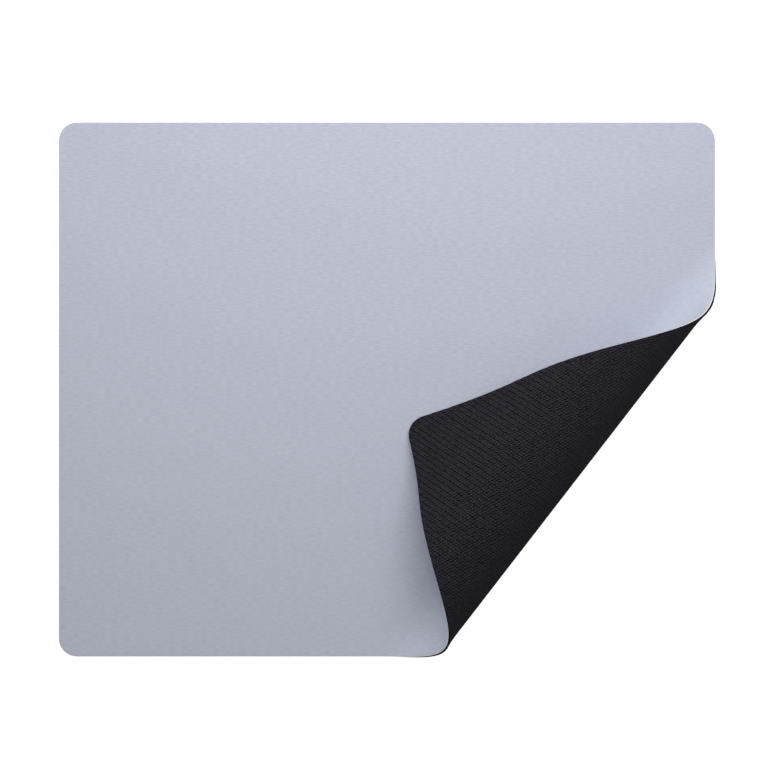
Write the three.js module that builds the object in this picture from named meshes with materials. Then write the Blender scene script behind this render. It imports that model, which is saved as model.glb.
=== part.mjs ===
// A cloth-faced mouse pad lying flat, with its front right corner turned back over the face.
// Millimetres. The origin is the middle of the underside, +X to the right, +Y to the back and +Z up out of the face.
// Three bonded sheets make the pad: a woven face, an adhesive film and a rubber base. They are cut flush and bend as one.

import * as THREE from "three";

// The flat pad
const PAD_WIDTH = 430;
const PAD_DEPTH = 350;
const CORNER_RADIUS = 12;
const CLOTH_THICKNESS = 0.5;
const FILM_THICKNESS = 0.1;
const RUBBER_THICKNESS = 1.4;

// The turned-back corner: it leaves the desk along a fold line, rolls over, crests and settles on the face
const TURNED_LENGTH = 179; // from the fold line to the sharp corner
const FOLD_ANGLE = 51; // of the fold line, from +X
const FAN_ANGLE = 6.6; // how far the lines of bending swing round between the fold line and the corner
const ROLL_RADIUS = 22.3;
const ROLL_TURN = 170; // angle turned by the end of the roll
const CREST_RADIUS = 50; // of the gentler bend that brings the flap down
const SETTLE_RADIUS = 78; // of the backward bend that lays the tip down
const TIP_TURN = 202; // angle turned at the tip, where 180 would lie level
const EASE_LENGTH = 18.7; // over which one bend passes into the next
const TIP_CLEARANCE = 0.3; // between the tip and the face below it

// Facets
const BEND_STRIPS = 72;
const CORNER_STEPS = 8;

const CLOTH_COLOUR = 0xb4b8c8;
const FILM_COLOUR = 0xc9c7bf;
const RUBBER_COLOUR = 0x26262a;

const FILM_LEVEL = RUBBER_THICKNESS;
const CLOTH_LEVEL = FILM_LEVEL + FILM_THICKNESS;
const FACE_LEVEL = CLOTH_LEVEL + CLOTH_THICKNESS;
const BEND_LEVEL = CLOTH_LEVEL; // the woven cloth can't stretch, so the pad bends about its bonded side
const STRIP_LENGTH = TURNED_LENGTH / BEND_STRIPS;
const SNAP = 0.002; // an outline point this near a line of bending lies on it

// The outline of the flat pad, anticlockwise from above
function padOutline() {
  const right = PAD_WIDTH / 2 - CORNER_RADIUS;
  const back = PAD_DEPTH / 2 - CORNER_RADIUS;
  const quarter = Math.PI / 2;
  const shape = new THREE.Shape();
  shape.absarc(right, back, CORNER_RADIUS, 0, quarter);
  shape.absarc(-right, back, CORNER_RADIUS, quarter, 2 * quarter);
  shape.absarc(-right, -back, CORNER_RADIUS, 2 * quarter, 3 * quarter);
  shape.absarc(right, -back, CORNER_RADIUS, 3 * quarter, 4 * quarter);
  const points = shape.getPoints(CORNER_STEPS / 2); // an arc gets two steps for each one asked for
  return points.map((point) => ({ x: point.x, y: point.y, line: null }));
}

// Curvature along the turned corner: roll, crest and settling bend, each eased into the next
function curvatureProfile(crestTurn) {
  const rollTurn = THREE.MathUtils.degToRad(ROLL_TURN);
  const tipTurn = THREE.MathUtils.degToRad(TIP_TURN);
  const crestChange = crestTurn - rollTurn;
  const settleChange = tipTurn - crestTurn;
  const bends = [
    { curvature: 1 / ROLL_RADIUS, length: rollTurn * ROLL_RADIUS },
    { curvature: Math.sign(crestChange) / CREST_RADIUS, length: Math.abs(crestChange) * CREST_RADIUS },
    { curvature: Math.sign(settleChange) / SETTLE_RADIUS, length: Math.abs(settleChange) * SETTLE_RADIUS },
    { curvature: 0, length: 0 },
  ];
  const changes = [];
  let start = EASE_LENGTH / 2;
  let before = 0;
  for (const bend of bends) {
    changes.push({ start, step: bend.curvature - before });
    start += bend.length;
    before = bend.curvature;
  }
  return (distance) => {
    let curvature = 0;
    for (const change of changes) {
      const share = (distance - change.start) / EASE_LENGTH + 0.5;
      curvature += change.step * THREE.MathUtils.clamp(share, 0, 1);
    }
    return curvature;
  };
}

// The lines of bending, a shallow fan across the corner, each with the small angle that the pad turns there
function bendLines(crestTurn) {
  const curvatureAt = curvatureProfile(crestTurn);
  const corner = new THREE.Vector2(PAD_WIDTH / 2, -PAD_DEPTH / 2);
  const firstAngle = THREE.MathUtils.degToRad(FOLD_ANGLE);
  const inward = new THREE.Vector2(-Math.sin(firstAngle), Math.cos(firstAngle));
  const lines = [];
  for (let i = 0; i < BEND_STRIPS; i++) {
    const distance = (i + 0.5) * STRIP_LENGTH;
    const swing = THREE.MathUtils.degToRad((FAN_ANGLE * distance) / TURNED_LENGTH);
    const angle = firstAngle + swing;
    lines.push({
      point: corner.clone().addScaledVector(inward, TURNED_LENGTH - distance),
      axis: new THREE.Vector3(-Math.cos(angle), -Math.sin(angle), 0),
      across: new THREE.Vector2(Math.sin(angle), -Math.cos(angle)),
      turn: curvatureAt(distance) * STRIP_LENGTH,
    });
  }
  return lines;
}

// Cuts a convex polygon along a line of bending, into the part before it and the part past it
function cutAlong(polygon, line) {
  const sides = polygon.map((point) => {
    const side = (point.x - line.point.x) * line.across.x + (point.y - line.point.y) * line.across.y;
    return Math.abs(side) < SNAP ? 0 : side;
  });
  const before = [];
  const past = [];
  polygon.forEach((point, i) => {
    const next = (i + 1) % polygon.length;
    if (sides[i] === 0) point.line = line;
    if (sides[i] <= 0) before.push(point);
    if (sides[i] >= 0) past.push(point);
    if (sides[i] * sides[next] < 0) {
      const share = sides[i] / (sides[i] - sides[next]);
      const crossing = {
        x: THREE.MathUtils.lerp(point.x, polygon[next].x, share),
        y: THREE.MathUtils.lerp(point.y, polygon[next].y, share),
        line,
      };
      before.push(crossing);
      past.push(crossing);
    }
  });
  return [before, past];
}

// A turn about a line of bending, at the level that the pad bends about
function turnAbout(line, angle) {
  const { x, y } = line.point;
  const there = new THREE.Matrix4().makeTranslation(x, y, BEND_LEVEL);
  const turn = new THREE.Matrix4().makeRotationAxis(line.axis, angle);
  const back = new THREE.Matrix4().makeTranslation(-x, -y, -BEND_LEVEL);
  return there.multiply(turn).multiply(back);
}

// The bent pad as flat strips between the lines of bending, each with the matrix that carries it to its place
function bentStrips(crestTurn) {
  const strips = [];
  let rest = padOutline();
  let placing = new THREE.Matrix4();
  let turned = 0;
  for (const line of bendLines(crestTurn)) {
    const [before, past] = cutAlong(rest, line);
    if (past.length < 3) break;
    strips.push({ outline: before, placing, turned });
    line.mitre = placing.clone().multiply(turnAbout(line, line.turn / 2));
    line.stretch = 1 / Math.cos(line.turn / 2);
    placing = placing.clone().multiply(turnAbout(line, line.turn));
    turned += line.turn;
    rest = past;
  }
  strips.push({ outline: rest, placing, turned });
  return strips;
}

// Where a point of the flat pad lies in the bent one: points on a line of bending take the mitre between two strips
function placed(point, level, strip) {
  if (!point.line) return new THREE.Vector3(point.x, point.y, level).applyMatrix4(strip.placing);
  const height = BEND_LEVEL + (level - BEND_LEVEL) * point.line.stretch;
  return new THREE.Vector3(point.x, point.y, height).applyMatrix4(point.line.mitre);
}

// How far the downturned flap lies above the face
function flapClearance(crestTurn) {
  let lowest = Infinity;
  for (const strip of bentStrips(crestTurn)) {
    if (strip.turned < Math.PI) continue;
    for (const point of strip.outline) lowest = Math.min(lowest, placed(point, FACE_LEVEL, strip).z);
  }
  return lowest - FACE_LEVEL;
}

// The turn at the crest that just brings the tip down to its clearance, found by halving
function restingCrestTurn() {
  let high = THREE.MathUtils.degToRad(180);
  let low = THREE.MathUtils.degToRad(270);
  for (let i = 0; i < 40; i++) {
    const middle = (high + low) / 2;
    if (flapClearance(middle) > TIP_CLEARANCE) high = middle;
    else low = middle;
  }
  return high;
}

// One sheet of the laminate, between two levels of its thickness
function sheetGeometry(strips, lower, upper) {
  const positions = [];
  const corners = [];
  const numbers = new Map();
  const numberOf = (point, strip) => {
    if (!numbers.has(point)) {
      numbers.set(point, positions.length / 3);
      positions.push(...placed(point, lower, strip), ...placed(point, upper, strip));
    }
    return numbers.get(point);
  };
  for (const strip of strips) {
    const under = strip.outline.map((point) => numberOf(point, strip));
    const over = under.map((number) => number + 1);
    const last = under.length - 1;
    for (let i = 1; i < last; i++) {
      corners.push(under[0], under[i + 1], under[i]);
      corners.push(over[0], over[i], over[i + 1]);
    }
    strip.outline.forEach((point, i) => {
      const next = i === last ? 0 : i + 1;
      const isInside = point.line && point.line === strip.outline[next].line;
      if (isInside) return;
      corners.push(under[i], under[next], over[next]);
      corners.push(under[i], over[next], over[i]);
    });
  }
  const geometry = new THREE.BufferGeometry();
  geometry.setAttribute("position", new THREE.Float32BufferAttribute(positions, 3));
  geometry.setIndex(corners);
  geometry.computeVertexNormals();
  return geometry;
}

function sheet(name, strips, lower, upper, material) {
  const mesh = new THREE.Mesh(sheetGeometry(strips, lower, upper), material);
  mesh.name = name;
  return mesh;
}

const clothFinish = new THREE.MeshStandardMaterial({ color: CLOTH_COLOUR, roughness: 0.85, metalness: 0 });
const filmFinish = new THREE.MeshStandardMaterial({ color: FILM_COLOUR, roughness: 0.5, metalness: 0 });
const rubberFinish = new THREE.MeshStandardMaterial({ color: RUBBER_COLOUR, roughness: 0.7, metalness: 0 });

const strips = bentStrips(restingCrestTurn());
const mousePad = new THREE.Group();
mousePad.add(sheet("rubber_base", strips, 0, FILM_LEVEL, rubberFinish));
mousePad.add(sheet("bond_film", strips, FILM_LEVEL, CLOTH_LEVEL, filmFinish));
mousePad.add(sheet("top_cloth", strips, CLOTH_LEVEL, FACE_LEVEL, clothFinish));

export default mousePad;
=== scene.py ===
# %% [markdown]
# # A mouse pad with one corner turned back
# The pad is a thin laminate of three sheets: a woven face, a film of adhesive and an embossed rubber
# base. They are bonded over their whole area and die-cut in one stroke, so they share one outline and
# bend as one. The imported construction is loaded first. It fixes every size and place here, and each of
# its three plain sheets is then replaced by a finer one.

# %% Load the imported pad
import math

import bpy
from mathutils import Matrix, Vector


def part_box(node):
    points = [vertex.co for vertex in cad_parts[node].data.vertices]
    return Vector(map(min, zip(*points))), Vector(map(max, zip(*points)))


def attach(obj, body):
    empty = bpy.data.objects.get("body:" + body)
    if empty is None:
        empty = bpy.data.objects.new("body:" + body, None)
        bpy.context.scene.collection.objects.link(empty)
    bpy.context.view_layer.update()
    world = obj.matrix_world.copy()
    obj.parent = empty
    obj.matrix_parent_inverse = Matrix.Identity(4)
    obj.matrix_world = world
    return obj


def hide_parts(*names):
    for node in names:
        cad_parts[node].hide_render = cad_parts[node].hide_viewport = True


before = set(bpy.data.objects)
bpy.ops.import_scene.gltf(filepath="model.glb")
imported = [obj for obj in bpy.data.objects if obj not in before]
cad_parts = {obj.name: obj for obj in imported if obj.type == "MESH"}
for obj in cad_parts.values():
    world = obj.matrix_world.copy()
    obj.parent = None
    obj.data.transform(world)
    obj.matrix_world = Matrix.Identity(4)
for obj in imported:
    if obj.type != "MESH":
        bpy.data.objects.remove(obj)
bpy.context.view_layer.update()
print("sheets in the frame:", sorted(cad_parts))

# %% [markdown]
# ## Sizes
# The left and back sides lie flat on the desk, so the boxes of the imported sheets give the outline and
# the levels of the layers. The turned corner repeats the bends of the construction: it leaves the desk
# along a fold line, rolls over, crests, and settles with its tip on the face.

# %% Sizes of the flat pad, in metres
base_low, base_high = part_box("rubber_base")
PAD_WIDTH = -2 * base_low.x
PAD_DEPTH = 2 * base_high.y
CORNER_RADIUS = 0.012
FILM_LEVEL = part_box("bond_film")[0].z
CLOTH_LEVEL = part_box("top_cloth")[0].z
CLOTH_THICKNESS = 0.0005
FACE_LEVEL = CLOTH_LEVEL + CLOTH_THICKNESS
print(f"flat pad {PAD_WIDTH:.4f} x {PAD_DEPTH:.4f} x {FACE_LEVEL:.4f} m")

# %% Sizes of the turned corner, in metres and degrees
TURNED_LENGTH = 0.179  # from the fold line to the sharp corner
FOLD_ANGLE = 51  # of the fold line, from +X
FAN_ANGLE = 6.6  # how far the lines of bending swing round between the fold line and the corner
ROLL_RADIUS = 0.0223
ROLL_TURN = 170  # angle turned by the end of the roll
CREST_RADIUS = 0.050
CREST_TURN = 231.93  # angle turned where the flap comes down most steeply
SETTLE_RADIUS = 0.078
TIP_TURN = 202  # angle turned at the tip, where 180 would lie level
EASE_LENGTH = 0.0187  # over which one bend passes into the next
BEND_STRIPS = 72
print("corner of", TURNED_LENGTH, "m turned back over a roll of", ROLL_RADIUS, "m radius")

# %% [markdown]
# ## Camera
# The pad was photographed from straight above. Its width in pixels sets the scale, and its middle sets
# how far the camera stands off centre. The height comes from how much larger the raised roll looks than
# the flat part.

# %% Camera straight above the pad
PHOTO_PIXELS = 768
PAD_PIXELS = 656.5
PAD_CENTRE_PIXEL = (386.9, 389.3)
CAMERA_HEIGHT = 1.045

metres_per_pixel = PAD_WIDTH / PAD_PIXELS
half_view = PHOTO_PIXELS / 2 * metres_per_pixel
camera_data = bpy.data.cameras.new("straight_down")
camera_data.sensor_fit = "HORIZONTAL"
camera_data.lens = camera_data.sensor_width / 2 * (CAMERA_HEIGHT - FACE_LEVEL) / half_view
camera = bpy.data.objects.new("straight_down", camera_data)
camera.location.x = (PHOTO_PIXELS / 2 - PAD_CENTRE_PIXEL[0]) * metres_per_pixel
camera.location.y = (PAD_CENTRE_PIXEL[1] - PHOTO_PIXELS / 2) * metres_per_pixel
camera.location.z = CAMERA_HEIGHT
bpy.context.scene.collection.objects.link(camera)
bpy.context.scene.camera = camera
bpy.context.scene.view_settings.view_transform = "Standard"
print("lens", round(camera_data.lens, 2), "mm, camera at", [round(v, 4) for v in camera.location])

# %% [markdown]
# ## Writing node trees as sums
# Shapes and finishes below are node trees. Adding nodes one by one hides the formula behind them, so a
# small class lets Python's own signs build the Math nodes: `a * b + c` on two wires and a number adds
# the nodes and the links.

# %% Helpers for node trees
def plug(tree, socket, value):
    if isinstance(value, Wire):
        tree.links.new(value.socket, socket)
    else:
        socket.default_value = value


def add_node(tree, kind, inputs=None, **settings):
    node = tree.nodes.new(kind)
    for name, value in settings.items():
        setattr(node, name, value)
    for name, value in (inputs or {}).items():
        plug(tree, node.inputs[name], value)
    return node


class Wire:
    """A value on its way through a node tree. Sums written with it become Math nodes."""

    def __init__(self, tree, socket):
        self.tree = tree
        self.socket = socket

    def math(self, operation, *others, **settings):
        node = add_node(self.tree, "ShaderNodeMath", operation=operation, **settings)
        for socket, value in zip(node.inputs, (self, *others)):
            plug(self.tree, socket, value)
        return Wire(self.tree, node.outputs[0])

    def __add__(self, other):
        return self.math("ADD", other)

    def __sub__(self, other):
        return self.math("SUBTRACT", other)

    def __mul__(self, other):
        return self.math("MULTIPLY", other)

    def __truediv__(self, other):
        return self.math("DIVIDE", other)

    def __neg__(self):
        return self * -1

    def clamped(self):
        return self.math("ADD", 0, use_clamp=True)

    def parts(self):
        node = add_node(self.tree, "ShaderNodeSeparateXYZ", {"Vector": self})
        return [Wire(self.tree, output) for output in node.outputs]


def vector(tree, x, y, z):
    node = add_node(tree, "ShaderNodeCombineXYZ", {"X": x, "Y": y, "Z": z})
    return Wire(tree, node.outputs["Vector"])


# %% [markdown]
# ## Finishes from formulas
# A photo of cloth wrapped round the pad would do for one view, but it blurs close up and carries its
# own light. A finish built from noise and waves stays sharp. It reads the attributes that a sheet
# carries, such as `flat`, the place of a point before the pad was bent, so a pattern follows the bend
# and never slides.

# %% Helpers for finishes
def new_finish(name):
    material = bpy.data.materials.new(name)
    material.use_nodes = True
    tree = material.node_tree
    return material, tree, tree.nodes["Principled BSDF"]


def read_attribute(tree, name, output):
    node = add_node(tree, "ShaderNodeAttribute", attribute_name=name)
    return Wire(tree, node.outputs[output])


def noise(tree, place, grain):
    """Cloudy noise about a middle of 0.5, with a grain of this size in metres along x, y and z."""
    stretch = [1 / size for size in grain]
    mapping = add_node(tree, "ShaderNodeMapping", {"Vector": place, "Scale": stretch})
    settings = {"Vector": Wire(tree, mapping.outputs[0]), "Scale": 1.0}
    return Wire(tree, add_node(tree, "ShaderNodeTexNoise", settings).outputs[0])


def mix_colours(tree, share, first, second):
    """A Mix node set to colour, whose sockets 0, 6 and 7 take the share and the two colours."""
    node = add_node(tree, "ShaderNodeMix", data_type="RGBA")
    for index, value in ((0, share), (6, first), (7, second)):
        plug(tree, node.inputs[index], value)
    return Wire(tree, node.outputs[2])


def add_bump(tree, shader, height, strength, distance):
    settings = {"Height": height, "Strength": strength, "Distance": distance}
    bump = add_node(tree, "ShaderNodeBump", settings)
    plug(tree, shader.inputs["Normal"], Wire(tree, bump.outputs["Normal"]))


# %% [markdown]
# ## Woven face
# The face is a fine, tight polyester weave, dyed a pale blue-grey. From a step away it shows no single
# thread, only faint dashes along the weft, about 4 mm long and 1 mm high, where the yarn runs thicker
# or thinner. Close up there are crossing threads, over and under within 0.4 mm. Where the cloth is cut,
# the undyed core of the threads shows as a paler line, which `edge`, a point's distance from the cut,
# puts in its place.

# %% Finish of the woven face
THREAD_DARK = (0.411, 0.431, 0.509, 1)
THREAD_LIGHT = (0.503, 0.527, 0.622, 1)
CUT_THREAD = (0.80, 0.79, 0.80, 1)
CUT_BAND = 0.0003
WEAVE_REPEAT = 0.0004
ALL_THROUGH = 1.0  # a grain this long looks the same through the whole thickness
DASH_GRAIN = (0.0042, 0.0009, ALL_THROUGH)
CLOUD_GRAIN = (0.040, 0.025, ALL_THROUGH)
DASH_CONTRAST = 1.7
CLOUD_CONTRAST = 0.2
WEAVE_CONTRAST = 0.45
FACE_ROUGHNESS = 0.75
DASH_ROUGHNESS = 0.2
WEAVE_RELIEF = 0.7  # against 1 for the dashes
THREAD_HEIGHT = 0.00004
THREAD_STRENGTH = 0.4

woven_finish, tree, shader = new_finish("woven_polyester")
flat = read_attribute(tree, "flat", "Vector")
across, along, _ = flat.parts()
warp = (across * (2 * math.pi / WEAVE_REPEAT)).math("SINE")
weft = (along * (2 * math.pi / WEAVE_REPEAT)).math("SINE")
weave = warp * weft
dashes = noise(tree, flat, DASH_GRAIN)
clouds = noise(tree, flat, CLOUD_GRAIN)
tone = (dashes - 0.5) * DASH_CONTRAST + (clouds - 0.5) * CLOUD_CONTRAST + weave * WEAVE_CONTRAST
face_colour = mix_colours(tree, (tone + 0.5).clamped(), THREAD_DARK, THREAD_LIGHT)
cut = (-(read_attribute(tree, "edge", "Fac") / CUT_BAND) + 1).clamped()
plug(tree, shader.inputs["Base Color"], mix_colours(tree, cut, face_colour, CUT_THREAD))
plug(tree, shader.inputs["Roughness"], dashes * DASH_ROUGHNESS + FACE_ROUGHNESS)
add_bump(tree, shader, weave * WEAVE_RELIEF + dashes, THREAD_STRENGTH, THREAD_HEIGHT)
shader.inputs["Specular IOR Level"].default_value = 0.2
shader.inputs["Sheen Weight"].default_value = 0.1
shader.inputs["Sheen Roughness"].default_value = 0.5
print("finish:", woven_finish.name)

# %% [markdown]
# ## Adhesive film
# The film shows only as a hairline in the cut edge, between the pale threads and the black rubber. It
# is a milky hot-melt glue, a little uneven where the knife dragged it, so its noise is drawn out along
# the edge and thin across it.

# %% Finish of the adhesive film
FILM_CLEAR = (0.50, 0.49, 0.45, 1)
FILM_MILKY = (0.66, 0.65, 0.60, 1)
DRAG_GRAIN = (0.0017, 0.0017, 0.00033)
FILM_ROUGHNESS = 0.35
DRAG_ROUGHNESS = 0.3

film_finish, tree, shader = new_finish("milky_adhesive")
flat = read_attribute(tree, "flat", "Vector")
drag = noise(tree, flat, DRAG_GRAIN)
plug(tree, shader.inputs["Base Color"], mix_colours(tree, drag, FILM_CLEAR, FILM_MILKY))
plug(tree, shader.inputs["Roughness"], drag * DRAG_ROUGHNESS + FILM_ROUGHNESS)
shader.inputs["Specular IOR Level"].default_value = 0.3
print("finish:", film_finish.name)

# %% [markdown]
# ## Embossed rubber
# The base is black rubber that was cured against a coarse twill cloth and keeps its print. Two steps
# set the whole print: `WARP_STEP` leads from one warp yarn to the next, and `WEFT_STEP` from one weft
# yarn to the next. In a four-end twill the weft shows over one yarn in four and moves on by one yarn
# each time, which gives diagonal rows. Counting the yarns between the pad's middle and a point tells
# which row the point lies in.

# %% Rows of the print
WARP_STEP = (0.001328, 0.000029)
WEFT_STEP = (-0.000112, 0.001213)
TWILL_ENDS = 4

rubber_finish, tree, shader = new_finish("embossed_black_rubber")
flat = read_attribute(tree, "flat", "Vector")
x, y, level = flat.parts()
crossing_area = WARP_STEP[0] * WEFT_STEP[1] - WARP_STEP[1] * WEFT_STEP[0]
warps_crossed = (x * WEFT_STEP[1] - y * WEFT_STEP[0]) / crossing_area
wefts_crossed = (y * WARP_STEP[0] - x * WARP_STEP[1]) / crossing_area
row_turn = (warps_crossed + wefts_crossed) * (2 * math.pi / TWILL_ENDS)
rows = row_turn.math("COSINE")
row_gap = TWILL_ENDS * crossing_area / math.dist(WARP_STEP, WEFT_STEP)
print(f"rows of the print {row_gap:.4f} m apart")

# %% [markdown]
# Over the roll the rubber is stretched and its ribs lie flatter. There it is also painted darker, a
# painted shade for the roll turning away from the lamps, and further round the whole print fades. A
# point's distance from the sharp corner, measured across the fold, tells how far round it lies.

# %% Where the ribs flatten and the painted shade lies
TIP_LENGTH = 0.065  # from the sharp corner to where the ribs begin to flatten
CREST_LENGTH = 0.088  # from the sharp corner to where the whole print begins to fade
STRETCH_EASE = 0.03

fold = math.radians(FOLD_ANGLE)
to_corner = (-x + PAD_WIDTH / 2) * math.sin(fold) + (y + PAD_DEPTH / 2) * math.cos(fold)
before_fold = ((-to_corner + TURNED_LENGTH) / STRETCH_EASE).clamped()
# This mask marks where the ribs flatten and where the rubber gets a painted shade, as the roll turns
# away from the lamps.
past_tip = ((to_corner - TIP_LENGTH) / STRETCH_EASE).clamped() * before_fold
rolled = ((to_corner - CREST_LENGTH) / STRETCH_EASE).clamped() * before_fold
print("ribs flatten", TIP_LENGTH, "m from the corner, and the print fades from", CREST_LENGTH, "m on")

# %% [markdown]
# The pits of the print are dents in the mesh, made further below. The finish adds what is too fine for
# the
# mesh: a painted shade that darkens the pits and a painted highlight that lightens the ridges, told
# apart by a point's level in the flat sheet, the low ribs of the rows as bump, and a speckle of dust and
# pores.

# %% Finish of the embossed rubber
EMBOSS_DEPTH = 0.0003
PIT_BLACK = (0.0010, 0.0009, 0.0014, 1)
RIDGE_BLACK = (0.0560, 0.0538, 0.0672, 1)
SPECKLE_GRAIN = (0.0006, 0.0006, 0.0006)
RIDGE_TONE = 0.66
# painted shade in the pits against painted highlight on the ridges
PIT_PAINTED_SHADE = 0.95
# painted lightening along the rows, taking back part of the pits' painted shade
ROW_PAINTED_LIGHTENING = 0.07
SPECKLE_CONTRAST = 2.3
# painted shade over the roll
ROLL_PAINTED_SHADE = 0.06
ROLLED_TONE = 0.34  # the even tone that the print fades towards
ROLLED_FADE = 0.5
RUBBER_ROUGHNESS = 0.65
SPECKLE_ROUGHNESS = 0.25
RUBBED_SMOOTHER = 0.08
STRETCHED_RELIEF = 0.25  # against 1 for the rows at the tip
HALF_ROW_RELIEF = 0.7
SPECKLE_RELIEF = 0.5
RIB_HEIGHT = 0.00036
RIB_STRENGTH = 1.0

speckle = noise(tree, flat, SPECKLE_GRAIN)
# Pits are painted darker by their depth and ridges paler: painted shade and painted highlight. Past the
# tip the rubber is painted darker still, a painted shade where the roll turns away from the lamps.
tone = -(level / EMBOSS_DEPTH) * PIT_PAINTED_SHADE - past_tip * ROLL_PAINTED_SHADE + RIDGE_TONE
# The rows' term lightens the rows where the pits lie deepest, taking back part of their painted shade;
# the speckle is dust and pores.
tone = (tone + rows * ROW_PAINTED_LIGHTENING + (speckle - 0.5) * SPECKLE_CONTRAST).clamped()
tone = tone + (-tone + ROLLED_TONE) * rolled * ROLLED_FADE
plug(tree, shader.inputs["Base Color"], mix_colours(tree, tone, PIT_BLACK, RIDGE_BLACK))
roughness = speckle * SPECKLE_ROUGHNESS - tone * RUBBED_SMOOTHER + RUBBER_ROUGHNESS
plug(tree, shader.inputs["Roughness"], roughness)
row_relief = past_tip * (STRETCHED_RELIEF - 1) + 1
ribs = rows * row_relief + (row_turn * 2).math("COSINE") * HALF_ROW_RELIEF
add_bump(tree, shader, speckle * SPECKLE_RELIEF + ribs, RIB_STRENGTH, RIB_HEIGHT)
shader.inputs["Specular IOR Level"].default_value = 0.01
print("finish:", rubber_finish.name)

# %% [markdown]
# ## Trees that make geometry
# A tree of Geometry Nodes keeps a rule and not a result: its sizes are named inputs, and each sheet
# asks for its own. Every tree ends in Realize Instances and Set Material, so what comes out is plain
# mesh with its finish on.

# %% Helpers for geometry trees
def new_tree(name, lengths, counts=()):
    tree = bpy.data.node_groups.new(name, "GeometryNodeTree")
    sockets = {"Geometry": "NodeSocketGeometry", "Material": "NodeSocketMaterial"}
    sockets.update({length: "NodeSocketFloat" for length in lengths})
    sockets.update({count: "NodeSocketInt" for count in counts})
    for socket, kind in sockets.items():
        tree.interface.new_socket(socket, in_out="INPUT", socket_type=kind)
    tree.interface.new_socket("Geometry", in_out="OUTPUT", socket_type="NodeSocketGeometry")
    source = tree.nodes.new("NodeGroupInput")
    return tree, {socket: Wire(tree, source.outputs[socket]) for socket in sockets}


def end_tree(tree, geometry, material):
    realized = add_node(tree, "GeometryNodeRealizeInstances", {"Geometry": geometry})
    settings = {"Geometry": Wire(tree, realized.outputs[0]), "Material": material}
    finished = add_node(tree, "GeometryNodeSetMaterial", settings)
    add_node(tree, "NodeGroupOutput", {"Geometry": Wire(tree, finished.outputs[0])})
    print("tree:", tree.name, "with", len(tree.nodes), "nodes")


def geometry_node(tree, kind, inputs, **settings):
    return Wire(tree, add_node(tree, kind, inputs, **settings).outputs[0])


def position(tree):
    return Wire(tree, tree.nodes.new("GeometryNodeInputPosition").outputs[0])


def read_named(tree, name, data_type):
    return geometry_node(tree, "GeometryNodeInputNamedAttribute", {"Name": name}, data_type=data_type)


def store(tree, geometry, name, value, data_type, domain="POINT"):
    settings = {"Geometry": geometry, "Name": name, "Value": value}
    kind = "GeometryNodeStoreNamedAttribute"
    return geometry_node(tree, kind, settings, data_type=data_type, domain=domain)


WELD = 0.000001


def closed_slab(tree, surface, lift):
    """A surface and its raised copy, joined by a wall round their rim."""
    under = geometry_node(tree, "GeometryNodeFlipFaces", {"Mesh": surface})
    settings = {"Mesh": surface, "Offset": vector(tree, 0, 0, lift), "Individual": False}
    over = geometry_node(tree, "GeometryNodeExtrudeMesh", settings, mode="FACES")
    both = tree.nodes.new("GeometryNodeJoinGeometry")
    for half in (over, under):
        tree.links.new(half.socket, both.inputs[0])
    settings = {"Geometry": Wire(tree, both.outputs[0]), "Distance": WELD}
    return geometry_node(tree, "GeometryNodeMergeByDistance", settings)


# %% [markdown]
# ## A flat sheet with rounded corners
# All three sheets are the same die-cut rectangle. A grid could be trimmed to the outline, but that
# leaves ragged faces along the cut. Here the rows and columns are spaced so that they end on the
# outline: near a side they follow the cosine of the corner's arc, and each row is drawn in by the sine
# of the same angle.

# %% Tree for a flat sheet: the outline
SHEET_LENGTHS = ["Width", "Depth", "Corner Radius", "Lower", "Upper", "Edge Drop", "Edge Width"]
sheet_tree, size = new_tree("rounded_sheet", SHEET_LENGTHS, ["Corner Steps", "Columns", "Rows"])
tree = sheet_tree


def spread(steps_out, inner_steps, half_size):
    """Distance from the middle and angle on the corner's arc, of a grid line counted outwards."""
    inner = half_size - size["Corner Radius"]
    outer_steps = size["Corner Steps"] + inner_steps
    angle = ((outer_steps - steps_out) / size["Corner Steps"]).clamped() * (math.pi / 2)
    place = inner * (steps_out / inner_steps).clamped() + size["Corner Radius"] * angle.math("COSINE")
    return place, angle


column_count = (size["Columns"] + size["Corner Steps"]) * 2
row_count = (size["Rows"] + size["Corner Steps"]) * 2
settings = {"Size X": column_count, "Size Y": row_count}
settings.update({"Vertices X": column_count + 1, "Vertices Y": row_count + 1})
grid = geometry_node(tree, "GeometryNodeMeshGrid", settings)
column, row, _ = position(tree).parts()
half_width = size["Width"] / 2
half_depth = size["Depth"] / 2
x_out, _ = spread(column.math("ABSOLUTE"), size["Columns"], half_width)
y_out, arc = spread(row.math("ABSOLUTE"), size["Rows"], half_depth)
drawn_in = half_width - size["Corner Radius"] + size["Corner Radius"] * arc.math("SINE")
x = column.math("SIGN") * x_out * drawn_in / half_width
y = row.math("SIGN") * y_out
settings = {"Geometry": grid, "Position": vector(tree, x, y, size["Lower"])}
surface = geometry_node(tree, "GeometryNodeSetPosition", settings)
sheet = closed_slab(tree, surface, size["Upper"] - size["Lower"])
print("outline of a sheet:", len(tree.nodes), "nodes")

# %% [markdown]
# The distance of each point from the cut is kept in `edge`, for the pale line of cut threads. The knife
# also pulls the upper edge down a little, by `Edge Drop` over the last `Edge Width`.

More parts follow.
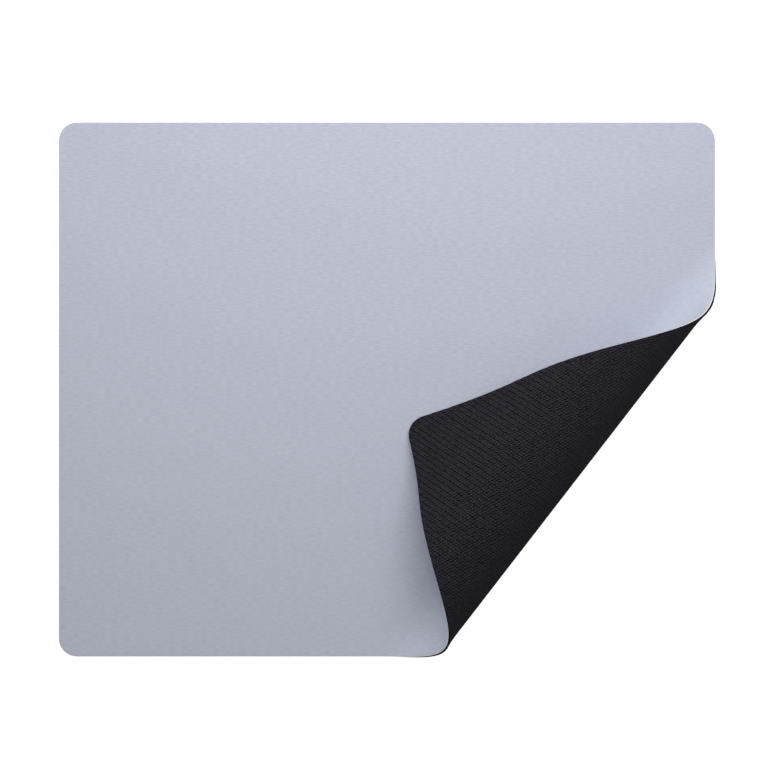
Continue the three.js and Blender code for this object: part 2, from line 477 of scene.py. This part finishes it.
# %% Tree for a flat sheet: the cut edge
past_x, past_y, level = position(tree).parts()
past_x = past_x.math("ABSOLUTE") - half_width + size["Corner Radius"]
past_y = past_y.math("ABSOLUTE") - half_depth + size["Corner Radius"]
beyond_x = past_x.math("MAXIMUM", 0)
beyond_y = past_y.math("MAXIMUM", 0)
to_arc = (beyond_x * beyond_x + beyond_y * beyond_y).math("SQRT")
to_side = past_x.math("MAXIMUM", past_y).math("MINIMUM", 0)
edge = size["Corner Radius"] - to_arc - to_side
sheet = store(tree, sheet, "edge", edge, "FLOAT")
is_upper = level.math("GREATER_THAN", (size["Lower"] + size["Upper"]) / 2)
nearness = (-(edge / size["Edge Width"]) + 1).clamped()
drop = vector(tree, 0, 0, -(is_upper * nearness * nearness * size["Edge Drop"]))
sheet = geometry_node(tree, "GeometryNodeSetPosition", {"Geometry": sheet, "Offset": drop})
end_tree(tree, sheet, size["Material"])

# %% [markdown]
# ## The embossed underside
# Each pit of the twill's print is a narrow boat, 1.9 mm wide and 8.5 mm long, and the pad has about
# 23,000 of them. Instances scattered over the sheet would be lumps beside it, not dents in it. Instead
# a grid is sheared onto the print, so that its points fall in turn on ridges and pits, and every pit is
# lifted by its own depth. Each face of the grid is then split from ridge to ridge, which keeps the
# ridges sharp. The relief is closed to a slab and intersected with a plain sheet. That carries the
# print out to the cut edge, as on a pad that is die-cut from a long roll.

# %% Tree for the embossed sheet
EMBOSS_LENGTHS = ["Warp X", "Warp Y", "Weft X", "Weft Y", "Emboss Depth", "Least Depth", "Slab Height"]
EMBOSS_COUNTS = ["Twill Ends", "Steps Along", "Steps Across", "Seed"]
emboss_tree, size = new_tree("embossed_sheet", EMBOSS_LENGTHS, EMBOSS_COUNTS)
tree = emboss_tree
steps_along = size["Steps Along"] * 2
steps_across = size["Steps Across"] * 2
settings = {"Size X": steps_along, "Size Y": steps_across}
settings.update({"Vertices X": steps_along + 1, "Vertices Y": steps_across + 1})
grid = geometry_node(tree, "GeometryNodeMeshGrid", settings)
along, across, _ = position(tree).parts()
grid = store(tree, grid, "pit", (along + across).math("FLOORED_MODULO", 2), "FLOAT")
parity = (along.math("FLOOR") + across.math("FLOOR")).math("FLOORED_MODULO", 2)
grid = store(tree, grid, "odd", parity, "FLOAT", "FACE")
wefts_up = size["Twill Ends"] * 2 - 1
width_x = size["Warp X"] - size["Weft X"]
width_y = size["Warp Y"] - size["Weft Y"]
length_x = size["Warp X"] + size["Weft X"] * wefts_up
length_y = size["Warp Y"] + size["Weft Y"] * wefts_up
x = along * width_x / 2 + across * length_x / 2
y = along * width_y / 2 + across * length_y / 2
chance = add_node(tree, "FunctionNodeRandomValue", {"Seed": size["Seed"]}, data_type="FLOAT")
spare_depth = size["Emboss Depth"] - size["Least Depth"]
own_share = Wire(tree, chance.outputs[1])  # output 0 is a vector
level = read_named(tree, "pit", "FLOAT") * (size["Least Depth"] + spare_depth * own_share)
settings = {"Geometry": grid, "Position": vector(tree, x, y, level)}
relief = geometry_node(tree, "GeometryNodeSetPosition", settings)
odd = read_named(tree, "odd", "FLOAT")
for test, split in (("LESS_THAN", "FIXED"), ("GREATER_THAN", "FIXED_ALTERNATE")):
    settings = {"Mesh": relief, "Selection": odd.math(test, 0.5)}
    relief = geometry_node(tree, "GeometryNodeTriangulate", settings, quad_method=split)
slab = closed_slab(tree, relief, size["Slab Height"])
trimmed = add_node(tree, "GeometryNodeMeshBoolean", operation="INTERSECT", solver="MANIFOLD")
for solid in (slab, size["Geometry"]):
    tree.links.new(solid.socket, trimmed.inputs["Mesh 2"])
end_tree(tree, Wire(tree, trimmed.outputs["Mesh"]), size["Material"])

# %% [markdown]
# ## Turning the corner back
# A bonded sheet can't stretch, so a turned corner is a developable surface: it bends about straight
# lines only. A lattice or a cloth simulation would stretch it a little everywhere. Here the lines of
# bending lie side by side across the corner in a shallow fan, and at each one the pad turns by its
# curvature times the width of a strip. The curvature is a row of steps, each eased into the next: the
# roll, the crest that brings the flap down, and the bend back that lays the tip on the face.

# %% Tree for the turned corner: the steps of curvature
BEND_LENGTHS = ["Width", "Depth", "Turned Length", "Fold Angle", "Fan Angle"]
BEND_LENGTHS += ["Roll Radius", "Roll Turn", "Crest Radius", "Crest Turn", "Settle Radius"]
BEND_LENGTHS += ["Tip Turn", "Ease Length", "Bend Level"]
BEND_LENGTHS += ["Right Flare", "Front Flare", "Flare Width", "Flare Middle", "Flare Reach"]
BEND_LENGTHS += ["Sharp Angle", "Shown Side", "Shown Level"]
bend_tree, size = new_tree("turned_corner", BEND_LENGTHS, ["Strips"])
tree = bend_tree
strip = size["Turned Length"] / size["Strips"]
roll = size["Roll Radius"].math("POWER", -1)
crest = size["Crest Radius"].math("POWER", -1)
settle = -size["Settle Radius"].math("POWER", -1)
roll_start = size["Ease Length"] / 2
crest_start = roll_start + size["Roll Turn"] * size["Roll Radius"]
settle_start = crest_start + (size["Crest Turn"] - size["Roll Turn"]) * size["Crest Radius"]
end_start = settle_start + (size["Crest Turn"] - size["Tip Turn"]) * size["Settle Radius"]
steps = [(roll_start, roll), (crest_start, crest - roll)]
steps += [(settle_start, settle - crest), (end_start, -settle)]
print("steps of curvature:", len(steps))

# %% [markdown]
# ## What the flat sheet hands on
# Before it is bent, the sheet keeps three things. `flat` is the flat place of each point, for the turns
# and the finishes. Edges steeper than `Sharp Angle` are marked sharp, so that the cut and the embossing
# stay crisp under smooth shading. `OFBake` is a UV map for programs that need pictures of the finishes.
# The side that shows fills it, laid out as flat as it was cut. The cut edge runs round it as a frame,
# drawn a little deeper than it is, and the side that is glued or lies inside goes small into the free
# strip above.

# %% Tree for the turned corner: what the flat sheet hands on
MAP_MARGIN = 1.03
MAP_MIDDLE = (0.5, 0.42)
RIM_STRETCH = 2
GLUED_SCALE = 0.15
GLUED_SHIFT = (-0.4, 0.5)

flat_sheet = store(tree, size["Geometry"], "flat", position(tree), "FLOAT_VECTOR")
corner_angle = Wire(tree, tree.nodes.new("GeometryNodeInputMeshEdgeAngle").outputs["Unsigned Angle"])
is_sharp = corner_angle.math("GREATER_THAN", size["Sharp Angle"])
settings = {"Geometry": flat_sheet, "Selection": is_sharp, "Shade Smooth": False}
flat_sheet = geometry_node(tree, "GeometryNodeSetShadeSmooth", settings, domain="EDGE")

normal = Wire(tree, tree.nodes.new("GeometryNodeInputNormal").outputs["Normal"])
flat_sheet = store(tree, flat_sheet, "facing", normal.parts()[2] * size["Shown Side"], "FLOAT", "FACE")
facing = read_named(tree, "facing", "FLOAT")
flat_x, flat_y, flat_z = read_named(tree, "flat", "FLOAT_VECTOR").parts()
is_shown = facing.math("GREATER_THAN", 0.5)
is_glued = facing.math("LESS_THAN", -0.5)
is_rim = -(is_shown + is_glued) + 1
rim_scale = (flat_z - size["Shown Level"]).math("ABSOLUTE") * RIM_STRETCH / (size["Width"] / 2) + 1
map_scale = (is_shown + is_rim * rim_scale + is_glued * GLUED_SCALE) / (size["Width"] * MAP_MARGIN)
map_u = flat_x * map_scale + is_glued * GLUED_SHIFT[0] + MAP_MIDDLE[0]
map_v = flat_y * map_scale + is_glued * GLUED_SHIFT[1] + MAP_MIDDLE[1]
flat_sheet = store(tree, flat_sheet, "OFBake", vector(tree, map_u, map_v, 0), "FLOAT2", "CORNER")
print("kept on the flat sheet: flat, sharp edges, OFBake")

# %% [markdown]
# ## Flared ends
# A tight bend stretches the outer side of the rubber, which draws in along the roll. At the roll's two
# open ends nothing holds that back, so the last few millimetres flare outwards, as the photographed
# roll does. Pushing the sheet down before it is bent gives that flare, because its underside becomes
# the outer side.

# %% Tree for the turned corner: the flared ends
to_right = size["Width"] / 2 - flat_x
to_front = size["Depth"] / 2 + flat_y
right_end = (-(to_right / size["Flare Width"]) + 1).clamped()
front_end = (-(to_front / size["Flare Width"]) + 1).clamped()
flare = size["Right Flare"] * right_end * right_end + size["Front Flare"] * front_end * front_end
fold_sine = size["Fold Angle"].math("SINE")
fold_cosine = size["Fold Angle"].math("COSINE")
past_fold = size["Turned Length"] - to_right * fold_sine - to_front * fold_cosine
along_fold = to_front * fold_sine - to_right * fold_cosine
swing = along_fold * size["Fan Angle"] / size["Turned Length"]
off_middle = (past_fold / (-swing + 1) - size["Flare Middle"]) / size["Flare Reach"]
fullness = (-(off_middle * off_middle) + 1).clamped()
push = vector(tree, 0, 0, -(flare * fullness * fullness))
flared = geometry_node(tree, "GeometryNodeSetPosition", {"Geometry": flat_sheet, "Offset": push})
print("turned corner so far:", len(tree.nodes), "nodes")

# %% [markdown]
# ## Turn after turn
# A Repeat Zone makes the turns from the last line back to the first, about lines of the flat pad, so
# every point swings as if strip after strip were folded by hand. The woven side can't stretch, so the
# lines lie at its bonded level.

# %% Tree for the turned corner: the turns
turns_in = tree.nodes.new("GeometryNodeRepeatInput")
turns_out = tree.nodes.new("GeometryNodeRepeatOutput")
turns_in.pair_with_output(turns_out)
plug(tree, turns_in.inputs["Iterations"], size["Strips"])
plug(tree, turns_in.inputs["Geometry"], flared)
distance = (size["Strips"] - Wire(tree, turns_in.outputs["Iteration"]) - 0.5) * strip
curvature = distance * 0
for start, step in steps:
    curvature = curvature + step * ((distance - start) / size["Ease Length"] + 0.5).clamped()
angle = size["Fold Angle"] + size["Fan Angle"] * distance / size["Turned Length"]
inward = size["Turned Length"] - distance
line_x = size["Width"] / 2 - size["Fold Angle"].math("SINE") * inward
line_y = size["Fold Angle"].math("COSINE") * inward - size["Depth"] / 2
past = (flat_x - line_x) * angle.math("SINE") - (flat_y - line_y) * angle.math("COSINE")
settings = {
    "Vector": position(tree),
    "Center": vector(tree, line_x, line_y, size["Bend Level"]),
    "Axis": vector(tree, -angle.math("COSINE"), -angle.math("SINE"), 0),
    "Angle": curvature * strip * (past / strip + 0.5).clamped(),
}
swung = geometry_node(tree, "ShaderNodeVectorRotate", settings, rotation_type="AXIS_ANGLE")
settings = {"Geometry": Wire(tree, turns_in.outputs["Geometry"]), "Position": swung}
turned = geometry_node(tree, "GeometryNodeSetPosition", settings)
plug(tree, turns_out.inputs["Geometry"], turned)
end_tree(tree, Wire(tree, turns_out.outputs["Geometry"]), size["Material"])

# %% [markdown]
# ## Running the trees
# Each sheet starts as an empty object with the trees on it in order. The result is taken as a plain
# mesh and the modifiers go, because the finished piece has to stand by itself.

# %% Helper that runs the trees
def make_piece(name, steps):
    piece = bpy.data.objects.new(name, bpy.data.meshes.new(name))
    bpy.context.scene.collection.objects.link(piece)
    for tree, values in steps:
        modifier = piece.modifiers.new(tree.name, "NODES")
        modifier.node_group = tree
        for socket in tree.interface.items_tree:
            if socket.in_out == "INPUT" and socket.name != "Geometry":
                modifier[socket.identifier] = values[socket.name]
    depsgraph = bpy.context.evaluated_depsgraph_get()
    result = piece.evaluated_get(depsgraph)
    new_mesh = bpy.data.meshes.new_from_object
    piece.data = new_mesh(result, preserve_all_data_layers=True, depsgraph=depsgraph)
    piece.modifiers.clear()
    piece.data.calc_loop_triangles()
    print(name, len(piece.data.vertices), "points", len(piece.data.loop_triangles), "triangles")
    return piece


# %% Values that the sheets share
CORNER_STEPS = 10
EDGE_WIDTH = 0.0012
RIGHT_FLARE = 0.0013
FRONT_FLARE = 0.0009
FLARE_WIDTH = 0.008  # from the cut edge inwards
FLARE_MIDDLE = 0.045  # past the fold line, where the roll stands upright
FLARE_REACH = 0.027
print("ends of the roll flare out by", RIGHT_FLARE, "and", FRONT_FLARE, "m")


def sheet_values(material, lower, upper, spacing, edge_drop=0.0):
    return {
        "Material": material,
        "Width": PAD_WIDTH,
        "Depth": PAD_DEPTH,
        "Corner Radius": CORNER_RADIUS,
        "Lower": lower,
        "Upper": upper,
        "Edge Drop": edge_drop,
        "Edge Width": EDGE_WIDTH,
        "Corner Steps": CORNER_STEPS,
        "Columns": round((PAD_WIDTH / 2 - CORNER_RADIUS) / spacing),
        "Rows": round((PAD_DEPTH / 2 - CORNER_RADIUS) / spacing),
    }


def bend_values(material, sharp_angle, shown_side, shown_level):
    return {
        "Material": material,
        "Width": PAD_WIDTH,
        "Depth": PAD_DEPTH,
        "Turned Length": TURNED_LENGTH,
        "Fold Angle": math.radians(FOLD_ANGLE),
        "Fan Angle": math.radians(FAN_ANGLE),
        "Roll Radius": ROLL_RADIUS,
        "Roll Turn": math.radians(ROLL_TURN),
        "Crest Radius": CREST_RADIUS,
        "Crest Turn": math.radians(CREST_TURN),
        "Settle Radius": SETTLE_RADIUS,
        "Tip Turn": math.radians(TIP_TURN),
        "Ease Length": EASE_LENGTH,
        "Bend Level": CLOTH_LEVEL,
        "Strips": BEND_STRIPS,
        "Right Flare": RIGHT_FLARE,
        "Front Flare": FRONT_FLARE,
        "Flare Width": FLARE_WIDTH,
        "Flare Middle": FLARE_MIDDLE,
        "Flare Reach": FLARE_REACH,
        "Sharp Angle": math.radians(sharp_angle),
        "Shown Side": shown_side,
        "Shown Level": shown_level,
    }


# %% [markdown]
# ## The three sheets
# The face and the film are flat sheets, turned back at the corner. Their grids are fine enough for the
# bend to look smooth. The face has its edge pulled down by the knife.

# %% Woven face
UPWARDS = 1
FACE_SPACING = 0.0022
EDGE_DROP = 0.00015
CUT_ANGLE = 40

flat_face = sheet_values(woven_finish, CLOTH_LEVEL, FACE_LEVEL, FACE_SPACING, EDGE_DROP)
turned_face = bend_values(woven_finish, CUT_ANGLE, UPWARDS, FACE_LEVEL)
woven_face = make_piece("woven_face", [(sheet_tree, flat_face), (bend_tree, turned_face)])
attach(woven_face, "root")
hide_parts("top_cloth")

# %% Adhesive film
FILM_SPACING = 0.003

flat_film = sheet_values(film_finish, FILM_LEVEL, CLOTH_LEVEL, FILM_SPACING)
turned_film = bend_values(film_finish, CUT_ANGLE, UPWARDS, CLOTH_LEVEL)
adhesive_film = make_piece("adhesive_film", [(sheet_tree, flat_film), (bend_tree, turned_film)])
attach(adhesive_film, "root")
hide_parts("bond_film")

# %% [markdown]
# The rubber starts as a sheet that reaches a little below the desk. The embossed slab then cuts it
# back, so its ridges end exactly at level 0 and its pits above. The print's grid has to reach every
# corner of the pad. How many steps that takes in each of its two directions follows from the pad's
# size.

# %% Embossed rubber
DOWNWARDS = -1
RUBBER_SPACING = 0.003
BELOW_DESK = 0.0005
FACET_ANGLE = 8
LEAST_DEPTH = 0.00021
SLAB_HEIGHT = 0.005
SPARE_STEPS = 3
EMBOSS_SEED = 7


def steps_to_cover(step, other):
    area = abs(step[0] * other[1] - step[1] * other[0])
    reach = (PAD_WIDTH * abs(other[1]) + PAD_DEPTH * abs(other[0])) / 2
    return math.ceil(reach / area) + SPARE_STEPS


pit_side = [(warp - weft) / 2 for warp, weft in zip(WARP_STEP, WEFT_STEP)]
pit_end = [(warp + weft * (2 * TWILL_ENDS - 1)) / 2 for warp, weft in zip(WARP_STEP, WEFT_STEP)]
emboss = {
    "Material": rubber_finish,
    "Warp X": WARP_STEP[0],
    "Warp Y": WARP_STEP[1],
    "Weft X": WEFT_STEP[0],
    "Weft Y": WEFT_STEP[1],
    "Emboss Depth": EMBOSS_DEPTH,
    "Least Depth": LEAST_DEPTH,
    "Slab Height": SLAB_HEIGHT,
    "Twill Ends": TWILL_ENDS,
    "Steps Along": steps_to_cover(pit_side, pit_end),
    "Steps Across": steps_to_cover(pit_end, pit_side),
    "Seed": EMBOSS_SEED,
}
flat_rubber = sheet_values(rubber_finish, -BELOW_DESK, FILM_LEVEL, RUBBER_SPACING)
turned_rubber = bend_values(rubber_finish, FACET_ANGLE, DOWNWARDS, 0.0)
rubber_steps = [(sheet_tree, flat_rubber), (emboss_tree, emboss), (bend_tree, turned_rubber)]
embossed_rubber = make_piece("embossed_rubber", rubber_steps)
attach(embossed_rubber, "root")
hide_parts("rubber_base")

# %% [markdown]

# %% [markdown]
# ## Light and floor
# Two broad soft lamps stand behind the pad. The near one hangs above and behind the back edge and makes
# the face brighter at the back than at the front. The far one stands low, further back and to the left,
# and reaches into the roll, so the cloth shines where it rises and the embossing throws small shadows.
# The room gives an even light from all round, which fills the shade beside the turned corner. The floor
# and the room look white to the camera and in reflections, by Light Path, while what they give to the
# pad stays at a plain level.

# %% Lamps
LAMP_SIDE = 0.8


def add_lamp(name, place, watts):
    lamp_data = bpy.data.lights.new(name, "AREA")
    lamp_data.shape = "SQUARE"
    lamp_data.size = LAMP_SIDE
    lamp_data.energy = watts
    lamp = bpy.data.objects.new(name, lamp_data)
    lamp.location = place
    lamp.rotation_euler = (-Vector(place)).to_track_quat("-Z", "Y").to_euler()
    lamp.visible_camera = False
    bpy.context.scene.collection.objects.link(lamp)
    print(name, watts, "W")


add_lamp("near_lamp", (0.07, 0.37, 0.67), 5.6)
add_lamp("far_lamp", (-0.5, 1.1, 0.35), 4.75)

# %% Room light
ROOM_LEVEL = 0.31


def seen_directly(tree):
    """1 for what the camera sees, straight, in a reflection or through glass, and 0 for the rest."""
    path = tree.nodes.new("ShaderNodeLightPath")
    seen = Wire(tree, path.outputs["Is Camera Ray"])
    for output in ("Is Glossy Ray", "Is Transmission Ray"):
        seen = seen.math("MAXIMUM", Wire(tree, path.outputs[output]))
    return seen


world = bpy.data.worlds.new("room")
world.use_nodes = True
tree = world.node_tree
background = tree.nodes["Background"]
background.inputs["Color"].default_value = (1, 1, 1, 1)
plug(tree, background.inputs["Strength"], seen_directly(tree) * (1 - ROOM_LEVEL) + ROOM_LEVEL)
bpy.context.scene.world = world
print("room light", ROOM_LEVEL)

# %% Floor
FLOOR_SIDE = 4.0
FLOOR_PAINT = (0.8, 0.8, 0.8, 1)
FLOOR_GLOW = 0.78

floor_mesh = bpy.data.meshes.new("floor")
half = FLOOR_SIDE / 2
floor_corners = [(-half, -half, 0), (half, -half, 0), (half, half, 0), (-half, half, 0)]
floor_mesh.from_pydata(floor_corners, [], [(0, 1, 2, 3)])
floor = bpy.data.objects.new("floor", floor_mesh)
bpy.context.scene.collection.objects.link(floor)
floor_finish, tree, shader = new_finish("white_floor")
shader.inputs["Base Color"].default_value = FLOOR_PAINT
shader.inputs["Roughness"].default_value = 0.9
shader.inputs["Specular IOR Level"].default_value = 0.0
shader.inputs["Emission Color"].default_value = (1, 1, 1, 1)
plug(tree, shader.inputs["Emission Strength"], seen_directly(tree) * FLOOR_GLOW)
floor_mesh.materials.append(floor_finish)
print("floor", FLOOR_SIDE, "m square")

# %% [markdown]
# ## Last update
# The view layer is brought up to date once more. The finished pad has to stay in the box of
# the imported one.

# %% Update the view layer
bpy.context.view_layer.update()
